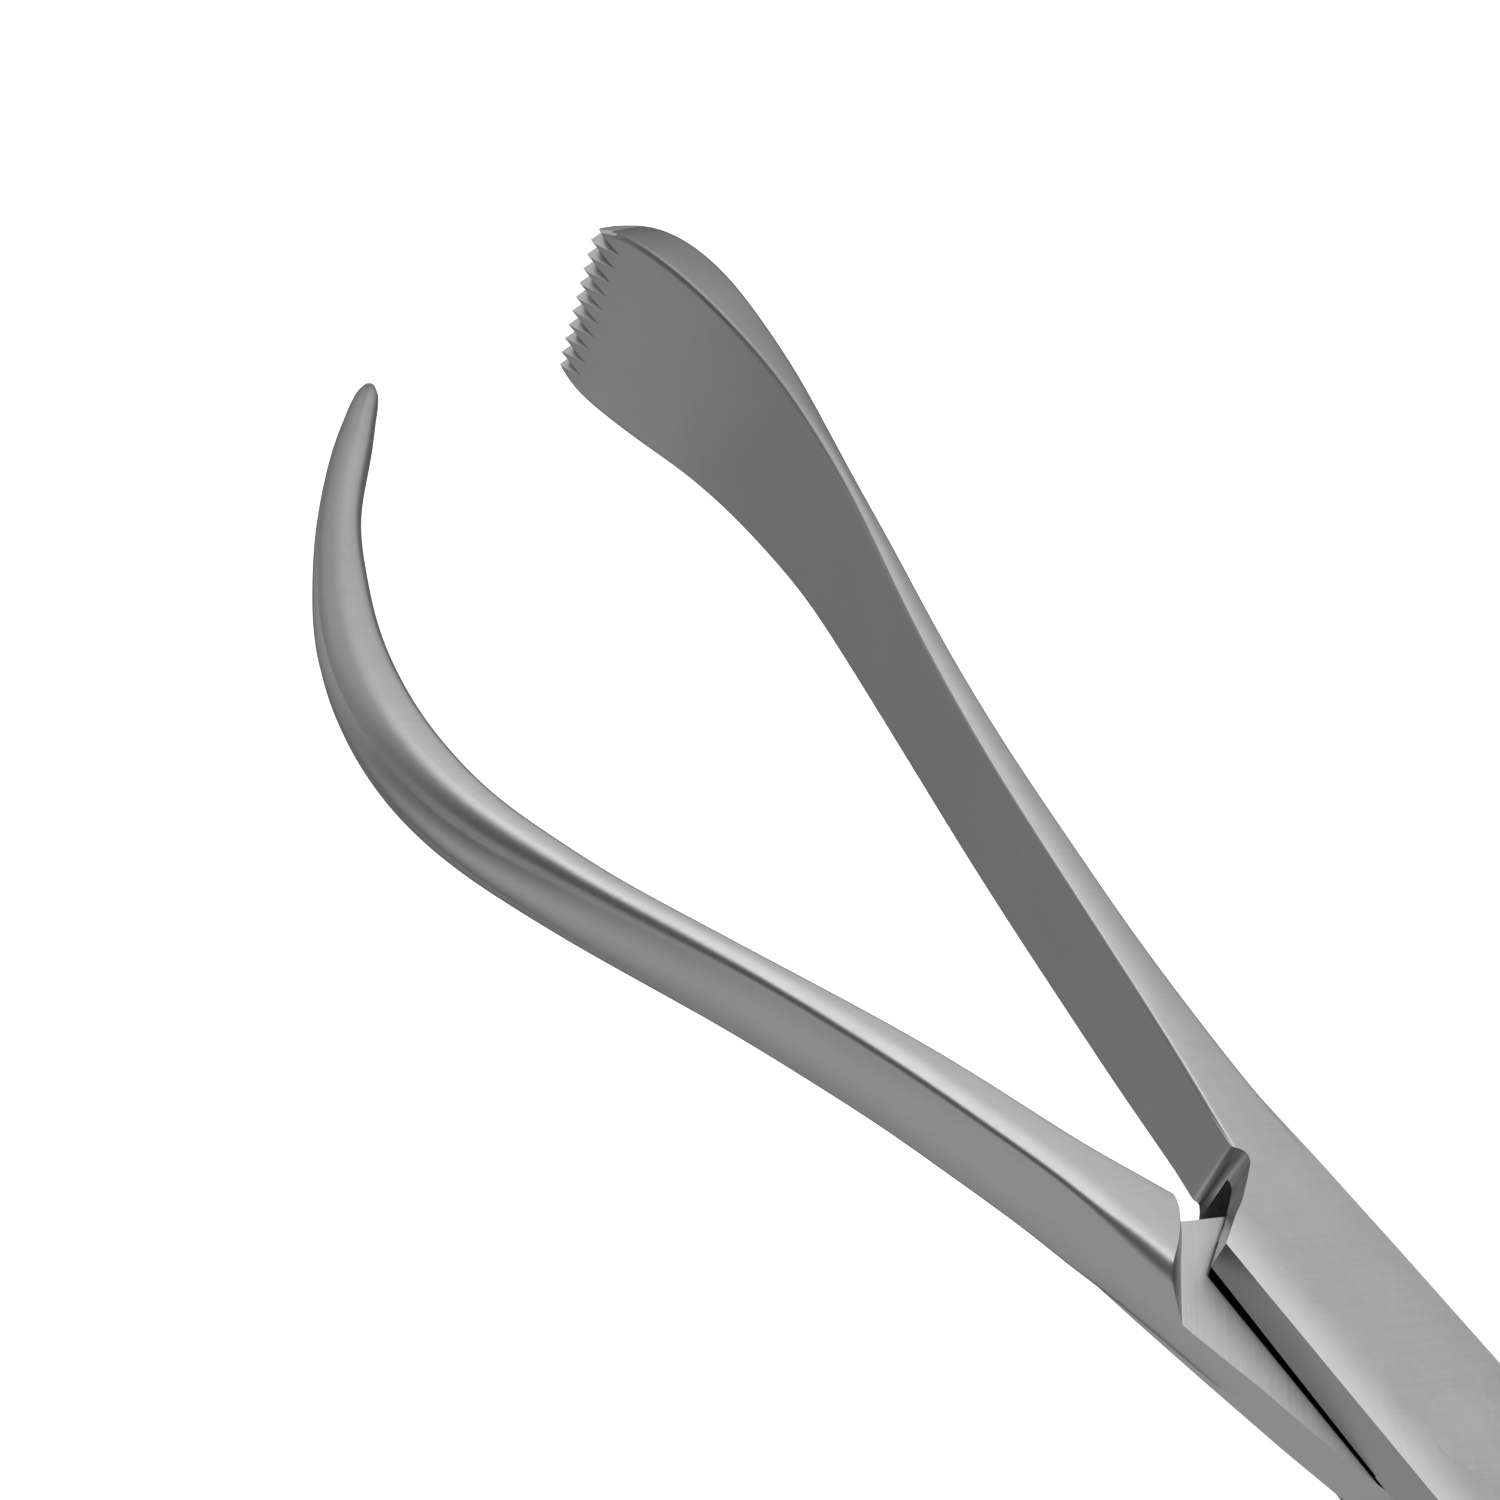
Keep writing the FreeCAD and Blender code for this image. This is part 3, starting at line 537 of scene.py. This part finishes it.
# x, inner y, outer y, width, inner/outer corner radius, inner/outer bulge, crown
PLATE = [
    (10.0, -2.00, 5.30, 5.90, 0.25, 0.25, 0.02, 0.02, 0.02),
    (18.0, -0.80, 5.20, 6.06, 0.25, 0.25, 0.02, 0.02, 0.02),
    (24.0, 0.12, 5.02, 6.34, 0.25, 0.25, 0.02, 0.02, 0.02),
    (28.0, 0.80, 4.94, 6.78, 0.25, 0.28, 0.02, 0.04, 0.03),
    (32.0, 1.44, 5.02, 7.18, 0.25, 0.30, 0.02, 0.06, 0.05),
    (40.0, 2.70, 5.60, 7.58, 0.25, 0.32, 0.02, 0.10, 0.08),
    (48.0, 3.97, 6.62, 7.82, 0.25, 0.34, 0.02, 0.12, 0.08),
    (56.0, 5.36, 7.78, 8.02, 0.25, 0.36, 0.02, 0.15, 0.08),
    (64.0, 6.98, 9.16, 8.45, 0.26, 0.38, 0.02, 0.20, 0.07),
    (72.0, 8.78, 10.76, 9.35, 0.28, 0.40, 0.02, 0.30, 0.06),
    (78.0, 10.22, 11.95, 10.40, 0.32, 0.42, 0.03, 0.40, 0.05),
    (84.0, 11.48, 12.98, 11.65, 0.38, 0.48, 0.05, 0.50, 0.04),
    (90.0, 12.22, 14.05, 13.05, 0.38, 0.60, 0.07, 0.45, 0.04),
    (96.0, 12.45, 14.95, 14.40, 0.42, 0.55, 0.08, 0.30, 0.04),
    (101.5, 12.00, 15.40, 15.50, 0.40, 0.55, 0.08, 0.20, 0.04),
    (106.5, 11.00, 15.35, 16.55, 0.45, 0.60, 0.06, 0.10, 0.04),
    (110.5, 9.98, 14.75, 16.80, 0.50, 0.65, 0.05, 0.05, 0.04),
    (113.5, 9.18, 13.75, 16.20, 0.50, 0.75, 0.04, 0.04, 0.04),
    (115.5, 8.72, 12.60, 14.70, 0.50, 0.80, 0.03, 0.03, 0.03),
    (116.75, 8.48, 11.60, 13.10, 0.50, 0.80, 0.02, 0.02, 0.02),
]
HANDLE = [
    (-10.0, 0.10, 8.0, 6.20, 0.4), (-18.0, -1.90, 7.0, 6.20, 0.4), (-27.0, -4.20, 5.8, 6.26, 0.6),
    (-38.0, -7.30, 5.7, 6.80, 1.2), (-52.0, -11.40, 6.0, 6.95, 1.9), (-70.0, -15.40, 6.4, 7.00, 2.3),
    (-90.0, -17.60, 6.7, 7.00, 2.4), (-108.0, -17.60, 6.8, 7.05, 2.4), (-124.0, -16.20, 7.0, 7.20, 2.1),
    (-134.0, -15.00, 7.4, 7.50, 1.4), (-145.0, -13.90, 7.4, 7.50, 1.4), (-152.0, -13.40, 6.9, 7.20, 1.8),
    (-157.0, -13.20, 5.8, 6.20, 2.0), (-159.5, -13.15, 4.2, 4.60, 1.7),
]
HOOK_C = [
    (10.0, -1.20, 8.60, 6.20, 0.30, 0.25, 0.05, 0.02),
    (17.0, -2.15, 6.90, 6.20, 0.95, 0.25, 0.10, 0.02),
    (20.0, -2.50, 6.12, 6.20, 0.92, 0.25, 0.12, 0.02),
    (22.5, -2.80, 5.40, 6.20, 0.78, 0.25, 0.14, 0.02),
    (25.2, -3.12, 4.68, 6.22, 0.45, 0.25, 0.16, 0.02),
    (28.0, -3.47, 3.98, 6.24, 0.32, 0.25, 0.18, 0.02),
    (34.0, -4.25, 3.38, 6.22, 0.32, 0.25, 0.22, 0.02),
    (40.0, -5.13, 2.96, 6.18, 0.34, 0.26, 0.26, 0.02),
    (46.0, -6.36, 2.50, 6.18, 0.38, 0.28, 0.30, 0.02),
    (52.0, -7.79, 2.10, 6.15, 0.42, 0.30, 0.30, 0.03),
    (58.0, -9.40, 2.10, 6.10, 0.60, 0.35, 0.35, 0.05),
    (63.0, -10.72, 2.30, 6.05, 0.85, 0.42, 0.40, 0.08),
    (68.0, -11.73, 2.75, 6.00, 1.15, 0.50, 0.45, 0.10),
    (73.0, -12.36, 3.25, 5.95, 1.45, 0.60, 0.45, 0.10),
    (78.0, -12.06, 3.75, 5.85, 1.60, 0.70, 0.45, 0.10),
    (82.7, -10.85, 4.00, 5.65, 1.70, 0.80, 0.45, 0.10),
    (87.0, -8.92, 4.05, 5.35, 1.70, 0.90, 0.40, 0.10),
    (91.0, -6.38, 3.85, 4.95, 1.60, 0.95, 0.35, 0.10),
    (95.2, -2.90, 3.45, 4.45, 1.50, 1.00, 0.25, 0.08),
    (99.0, 0.75, 3.02, 3.90, 1.28, 1.00, 0.18, 0.06),
    (102.6, 5.00, 2.88, 3.45, 1.18, 1.00, 0.14, 0.05),
    (105.6, 9.00, 2.75, 3.05, 1.15, 1.00, 0.10, 0.04),
    (108.2, 12.60, 2.20, 2.50, 1.00, 0.90, 0.05, 0.03),
    (109.6, 14.60, 1.55, 1.80, 0.70, 0.65, 0.03, 0.02),
    (110.25, 15.50, 0.80, 0.95, 0.36, 0.34, 0.01, 0.01),
]


def handle_loft(sign):
    secs = []
    n = len(HANDLE)
    for i, (x, y, t, w, r) in enumerate(HANDLE):
        a = HANDLE[max(0, i - 1)]
        b = HANDLE[min(n - 1, i + 1)]
        ang = math.degrees(math.atan2(sign * (b[1] - a[1]), b[0] - a[0]))
        if ang > 90:
            ang -= 360
        ang = (ang + 360) % 360
        secs.append((x, sign * y, ang, -t / 2, t / 2, w, r, r, 0.05, 0.05, 0.05, 0, 0, 1.0))
    return loft(secs, 1.2)


def joint_slab(bottom, top, d_lo, d_hi):
    """the flat joint block: crowned near face, cut to its outline"""
    secs = [(x, 0.0, 0.0, -HW - 0.9, HW + 0.9, T, 0.05, 0.05, 0.0, 0.0, 0.0, d_lo, d_hi, 3.7) for x in (-32.0, 0.0, 32.0)]
    return boolean(loft(secs, 2.0), ruled(bottom, top, -H - 0.5, H + 0.5, 4), "INTERSECT")


# ------------------------------------------------------------------ plate arm
jaw = loft([(x, 0.0, 0.0, yi, yo, w, ri, ro, bi, bo, bz, 0.0, 0.0, 1.0) for x, yi, yo, w, ri, ro, bi, bo, bz in PLATE], 0.6)
# front shoulder of the near half, from the flank to the jaw's inner face
NOSE = smooth_line([(17.66, -5.52), (18.9, -3.64), (19.64, -2.32), (20.7, -0.85), (21.55, 0.25), (21.95, 0.56),
                    (22.34, 0.66), (22.72, 0.50), (23.0, 0.22), (23.3, 0.02), (23.7, 0.05), (24.2, 0.14)], 5)
P_REST = [(26.0, 0.46), (26.0, 4.97), (20.0, 5.28), (12.0, 5.52), (3.0, 5.70), (-8.0, 5.74),
          (-SH_X, HW), (-21.2, 0.9), (-21.9, 0.1), (-22.6, -0.35), (-27.5, -1.55)]
P_TOP = NOSE + P_REST + [(-27.5, -6.8), (-22.0, -5.8), (-17.0, -5.52), (-6.0, -5.52), (3.0, -5.52), (10.0, -5.52)]
P_BOT = [(17.50, -6.05)] + NOSE[1:] + P_REST + [(-27.5, -7.2), (-22.0, -6.3), (-17.0, -6.30), (-6.0, -6.32), (3.0, -6.32), (10.0, -6.22)]
plate = boolean(jaw, joint_slab(P_BOT, P_TOP, 0.445, 0.10), "UNION")
plate = boolean(plate, handle_loft(1.0), "UNION")
# thin far cheek, tapering out at both ends
CHEEK_Z, SLOT_Z = -3.85, -H - 0.12
CH_TOP = [(17.6, -6.15), (20.4, -3.0), (21.88, -1.10), (22.6, -0.30), (23.1, 0.10), (24.1, 0.12), (25.8, 0.46), (25.8, 4.85),
          (20.0, 5.2), (-8.0, 5.6), (-SH_X, 5.5), (-21.2, 0.9), (-22.6, -0.35), (-27.0, -1.6), (-27.0, -6.7),
          (-17.0, -6.3), (-6.0, -6.36), (3.0, -6.36), (10.0, -6.26)]
CH_LOW = [(17.3, -5.6), (19.9, -2.5), (21.3, -0.60), (22.0, 0.10), (22.6, 0.60), (23.0, 0.90), (23.3, 1.20), (23.3, 4.3),
          (19.0, 4.7), (-8.0, 5.0), (-18.2, 4.9), (-20.6, 0.9), (-21.6, -0.65), (-23.2, -1.4), (-23.2, -5.9),
          (-17.0, -5.8), (-6.0, -5.86), (3.0, -5.86), (10.0, -5.76)]
plate = boolean(plate, ruled(CH_LOW, CH_TOP, CHEEK_Z, -2.9, 3), "UNION")
# the half that the other arm passes through; behind the crossing a thin side
# wall closes the plate arm's flank
RECESS = [(V_X + 0.85, 0.0), (17.57, 8.2), (-40.0, 8.2), (-40.0, 0.25), (-V_X, 0.25), (-V_X, 0.0), (-19.6, -3.45),
          (-18.2, -3.75), (-8.3, -4.72), (-3.0, -5.38), (-1.0, -5.75), (-0.8, -8.2), (27.3, -8.2)]
plate = boolean(plate, prism(RECESS, SLOT_Z, G), "DIFFERENCE")
plate = boolean(plate, prism([(-40.0, 0.25), (-V_X, 0.25), (-21.0, 8.2), (-40.0, 8.2)], -H - 2.0, SLOT_Z + 0.01), "DIFFERENCE")
plate = boolean(plate, prism([(-V_X, 0.0), (-16.72, 8.2), (-40.0, 8.2), (-40.0, -0.2)], G - 0.01, H + 1.0), "DIFFERENCE")
plate = boolean(plate, prism(NOSE + [(24.2, -8.2), (16.0, -8.2)], SLOT_Z, H + 1.0), "DIFFERENCE")
# relief along the lower edge of the lapped half, open at the front, running out to the rear
LIP0 = [(18.8, -7.0), (18.8, -3.3), (1.2, -5.2), (1.2, -7.0)]
z_lo = [G - 0.3] * 4
z_hi = [G + 0.50, G + 0.50, G + 0.12, G + 0.12]
rel = new_obj("cut", [(x, y, z) for (x, y), z in zip(LIP0, z_lo)] + [(x, y, z) for (x, y), z in zip(LIP0, z_hi)],
              [(0, 3, 2, 1), (4, 5, 6, 7), (0, 1, 5, 4), (1, 2, 6, 5), (2, 3, 7, 6), (3, 0, 4, 7)])
plate = boolean(plate, rel, "DIFFERENCE")
SKEW = 0.75
plate = boolean(plate, sweep([(116.77, -1, 9.0), (122, -1, 9.0), (122, -1, -9.0), (116.75 - SKEW * 1.35, -1, -9.0)], (0, 40, 0)), "DIFFERENCE")
# comb of V grooves across the end
S0 = Vector((113.2, 9.20, 0))
gdir = (Vector((116.75, 9.78, 0)) - S0).normalized()
nrm = Vector((gdir.y, -gdir.x, 0))
start = S0 - gdir * 1.6
N_G, PITCH, DEPTH = 10, 1.41, 1.10
comb = []
z0 = -(N_G - 1) / 2.0 * PITCH
comb.append(start + nrm * (DEPTH * 1.9) + Vector((0, 0, z0 - PITCH * 0.95)))
for i in range(N_G):
    zc = z0 + i * PITCH
    comb.append(start + Vector((0, 0, zc)))
    if i < N_G - 1:
        comb.append(start + nrm * DEPTH + Vector((0, 0, zc + PITCH / 2)))
comb.append(start + nrm * (DEPTH * 1.9) + Vector((0, 0, z0 + (N_G - 1) * PITCH + PITCH * 0.95)))
plate = boolean(plate, sweep(comb, gdir * 7.5), "DIFFERENCE")
al = math.atan2(14.45, 139.25)
rad = Vector((-math.cos(al), -math.sin(al), 0))
tan = Vector((math.sin(al), -math.cos(al), 0))
R_IN, R_OUT = 135.3, 141.62
plate = boolean(plate, sweep([rad * R_IN - tan * 9 + Vector((0, 0, -1.9)), rad * R_OUT - tan * 9 + Vector((0, 0, -1.9)),
                              rad * R_OUT + tan * 9 + Vector((0, 0, -1.9)), rad * R_IN + tan * 9 + Vector((0, 0, -1.9))],
                             (0, 0, 3.8)), "DIFFERENCE")
plate = boolean(plate, cyl((0, 0, -5), (0, 0, 1), 3.0, 10), "DIFFERENCE")
rotz(plate, HALF_OPEN)
plate = place(plate, "plate_arm_forging")

# ------------------------------------------------------------------ hook arm
secs = []
n = len(HOOK_C)
for i, (x, y, t, w, ro, ri, bo, bi) in enumerate(HOOK_C):
    a = HOOK_C[max(0, i - 1)]
    b = HOOK_C[min(n - 1, i + 1)]
    ang = math.degrees(math.atan2(b[1] - a[1], b[0] - a[0]))
    if x < 35:
        ang = 0.0
    secs.append((x, y, ang, -t / 2, t / 2, w, ro, ri, bo, bi, 0.03, HOOK_DROP[0] if x < 60 else HOOK_DROP[1], 0.0, 1.6))
hook = loft(secs, 0.5)
H_OUT = [(18.8, HW), (20.95, 2.4), (22.45, 0.15), (23.3, 0.12), (24.0, -0.05), (24.8, -0.38), (26.5, -0.98),
         (26.5, -4.90), (20.0, -5.28), (14.5, -5.50), (8.0, -5.68), (4.0, -5.66), (1.0, -5.50), (-8.0, -5.0), (-SH_X, -4.6), (-21.2, -0.9), (-21.9, -0.1),
         (-22.6, 0.35), (-27.5, 1.55), (-27.5, 7.0), (-22.0, 6.0), (-17.0, HW)]
slab = joint_slab(H_OUT, H_OUT, 0.0, 0.0)
slab = boolean(slab, prism([(14.0, -9.0), (30.0, -9.0), (30.0, 9.0), (14.0, 9.0)], -G + 0.02, H + 1.0), "DIFFERENCE")
hook = boolean(hook, slab, "UNION")
hook = boolean(hook, handle_loft(-1.0), "UNION")
# near half taken away behind a leaning shoulder
TOP = smooth_line([(24.9, -0.62), (24.08, -0.34), (23.22, -0.27), (22.4, -0.70), (21.62, -1.62), (20.76, -3.21), (20.22, -4.64),
                   (19.95, -5.8), (19.3, -8.2)], 5)
BOT = smooth_line([(24.9, -0.45), (24.0, -0.05), (23.35, 0.10), (22.62, 0.18), (21.79, 1.15), (19.90, -1.80), (18.60, -3.85),
                   (17.45, -5.60), (15.8, -8.2)], 5)
REAR = [(-40.0, -8.2), (-40.0, -0.25), (-V_X, -0.25), (-V_X, 0.0), (-16.72, 8.2), (27.0, 8.2)]
ext = [(t[0] + (t[0] - q[0]) * 0.32, t[1] + (t[1] - q[1]) * 0.32) for t, q in zip(TOP, BOT)]
hook = boolean(hook, ruled(BOT + REAR, ext + REAR, -G, H + 1.0, 8), "DIFFERENCE")
hook = boolean(hook, prism([(-V_X, 0.0), (-16.72, -8.2), (-40.0, -8.2), (-40.0, 0.2)], -H - 1.0, -G + 0.01), "DIFFERENCE")
hook = boolean(hook, prism([(18.8, HW), (20.95, 2.4), (22.45, 0.15), (23.3, 0.12), (24.0, -0.05), (24.8, -0.38),
                            (26.5, -0.98), (26.5, 8.2), (17.16, 8.2)], -H - 1.0, H + 1.0), "DIFFERENCE")
HX, HY = -139.25, 14.45
radh = Vector((-math.cos(al), math.sin(al), 0))
tanh = Vector((-math.sin(al), -math.cos(al), 0))
hc = Vector((HX, HY, -1.65))
hook = boolean(hook, sweep([hc + radh * a_ + tanh * b_ for a_, b_ in ((-5.6, -3.9), (3.9, -3.9), (3.9, 9.0), (-5.6, 9.0))], (0, 0, 3.3)), "DIFFERENCE")
hook = boolean(hook, cyl((HX, HY, -10), (0, 0, 1), 1.5, 20), "DIFFERENCE")
hook = boolean(hook, cyl((HX, HY, 2.45), (0, 0, 1), 2.6, 5), "DIFFERENCE")
hook = boolean(hook, cyl((0, 0, -5), (0, 0, 1), 3.05, 10), "DIFFERENCE")
hook = boolean(hook, prism([(-116.5, 13.75), (-103.5, 13.75), (-103.5, 7.75), (-116.5, 7.75)], -10, 10), "DIFFERENCE")
hook = boolean(hook, cyl((-110.0, 13.25, 0), (0, 1, 0), 1.1, 4.2, 32), "DIFFERENCE")
rotz(hook, -HALF_OPEN)
hook = place(hook, "hook_arm_forging")

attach(plate, "plate_side")
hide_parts("plate_arm")
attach(hook, "hook_side")
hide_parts("hook_arm")
plate.data.materials.clear()
plate.data.materials.append(mats["plate_arm"])
for m in (tip_shade_edge_mat, groove_painted_highlight, groove_painted_shade, painted_shade_gap_mat):
    plate.data.materials.append(m)
# where a face lies along the plate jaw, in the arm's own frame
ca, sa = math.cos(math.radians(HALF_OPEN)), math.sin(math.radians(HALF_OPEN))
for p in plate.data.polygons:
    c = (p.center - HINGE) * 1000.0
    x, y = c.x * ca - c.y * sa, -c.x * sa - c.y * ca
    # painted shade: the slot's ceiling and back wall under the lapped half take the near-black gap material
    if 0.5 < x < 19.2 and -6.6 < y < -3.0 and 0.0 < c.z < 0.62 and (p.normal.z < -0.9 or y > -5.45):
        p.material_index = 4
    # painted shade: the plate jaw's near face beyond x 60 mm takes the edge material that darkens towards the tip
    if x > 60.0 and p.normal.z > 0.55 and c.z > 3.0:
        p.material_index = 1
    # painted highlight and painted shade: groove walls facing up take the bright copy, those facing down the dark copy
    if x > 112.6 and abs(c.z) < 7.6 and 0.35 < abs(p.normal.z) < 0.95:
        p.material_index = 2 if p.normal.z > 0 else 3
hook.data.materials.clear()
hook.data.materials.append(mats["hook_arm"])
hook.data.materials.append(tongue_mat)
for p in hook.data.polygons:
    if p.normal.z > 0.97 and abs(p.center.z - (HINGE.z - G * 0.001)) < 1.5e-4:
        p.material_index = 1

# ------------------------------------------------------------------ stage
fm = bpy.data.meshes.new("floor")
S = 3.0
fm.from_pydata([(-S, -S, 0), (S, -S, 0), (S, S, 0), (-S, S, 0)], [], [(0, 1, 2, 3)])
floor = bpy.data.objects.new("floor", fm)
scene.collection.objects.link(floor)
floor.location = (0, 0, -0.0002)
m = bpy.data.materials.new("floor_white")
nt = tree(m)
out = node(nt, "ShaderNodeOutputMaterial")
bs = node(nt, "ShaderNodeBsdfPrincipled")
bs.inputs["Base Color"].default_value = (0.9, 0.9, 0.9, 1)
bs.inputs["Roughness"].default_value = 0.9
bs.inputs["Specular IOR Level"].default_value = 0.0
bs.inputs["Emission Color"].default_value = (1, 1, 1, 1)
bs.inputs["Emission Strength"].default_value = 0.95
nt.links.new(bs.outputs[0], out.inputs[0])
fm.materials.append(m)
floor.visible_glossy = False

# ------------------------------------------------------------------ light
world = bpy.data.worlds.new("studio")
scene.world = world
world.use_nodes = True
nt = world.node_tree
nt.nodes.clear()
wout = node(nt, "ShaderNodeOutputWorld")
bg = node(nt, "ShaderNodeBackground")
nt.links.new(bg.outputs[0], wout.inputs[0])
tc = node(nt, "ShaderNodeTexCoord")

# soft boxes: direction, half-angle sharpness (power of the cosine), strength
LOBES = [
    ((0.15, -0.20, 0.95), 14.0, 1.35),    # soft box nearly overhead
    ((0.30, -0.75, 0.55), 4.0, 0.46),     # big soft box over the far side
    ((-0.10, 0.74, -0.62), 5.0, 0.42),    # light bounced up from the table, near side
    ((0.75, 0.20, -0.62), 6.0, 0.10),     # weaker bounce past the jaws
    ((0.95, 0.25, 0.10), 5.0, 0.26),      # fill from beyond the jaws
    ((0.70, 0.15, 0.70), 4.0, 0.22),
]
AMBIENT = 0.10
acc = None
for d, p, s in LOBES:
    d = Vector(d).normalized()
    dot = node(nt, "ShaderNodeVectorMath", operation="DOT_PRODUCT")
    nt.links.new(tc.outputs["Generated"], dot.inputs[0])
    dot.inputs[1].default_value = d
    mxm = node(nt, "ShaderNodeMath", operation="MAXIMUM")
    nt.links.new(dot.outputs["Value"], mxm.inputs[0])
    mxm.inputs[1].default_value = 0.0
    pw = node(nt, "ShaderNodeMath", operation="POWER")
    nt.links.new(mxm.outputs[0], pw.inputs[0])
    pw.inputs[1].default_value = p
    ml = node(nt, "ShaderNodeMath", operation="MULTIPLY")
    nt.links.new(pw.outputs[0], ml.inputs[0])
    ml.inputs[1].default_value = s
    if acc is None:
        acc = ml
    else:
        ad = node(nt, "ShaderNodeMath", operation="ADD")
        nt.links.new(acc.outputs[0], ad.inputs[0])
        nt.links.new(ml.outputs[0], ad.inputs[1])
        acc = ad
amb = node(nt, "ShaderNodeMath", operation="ADD")
nt.links.new(acc.outputs[0], amb.inputs[0])
amb.inputs[1].default_value = AMBIENT
nt.links.new(amb.outputs[0], bg.inputs["Strength"])
bg.inputs["Color"].default_value = (1, 1, 1, 1)
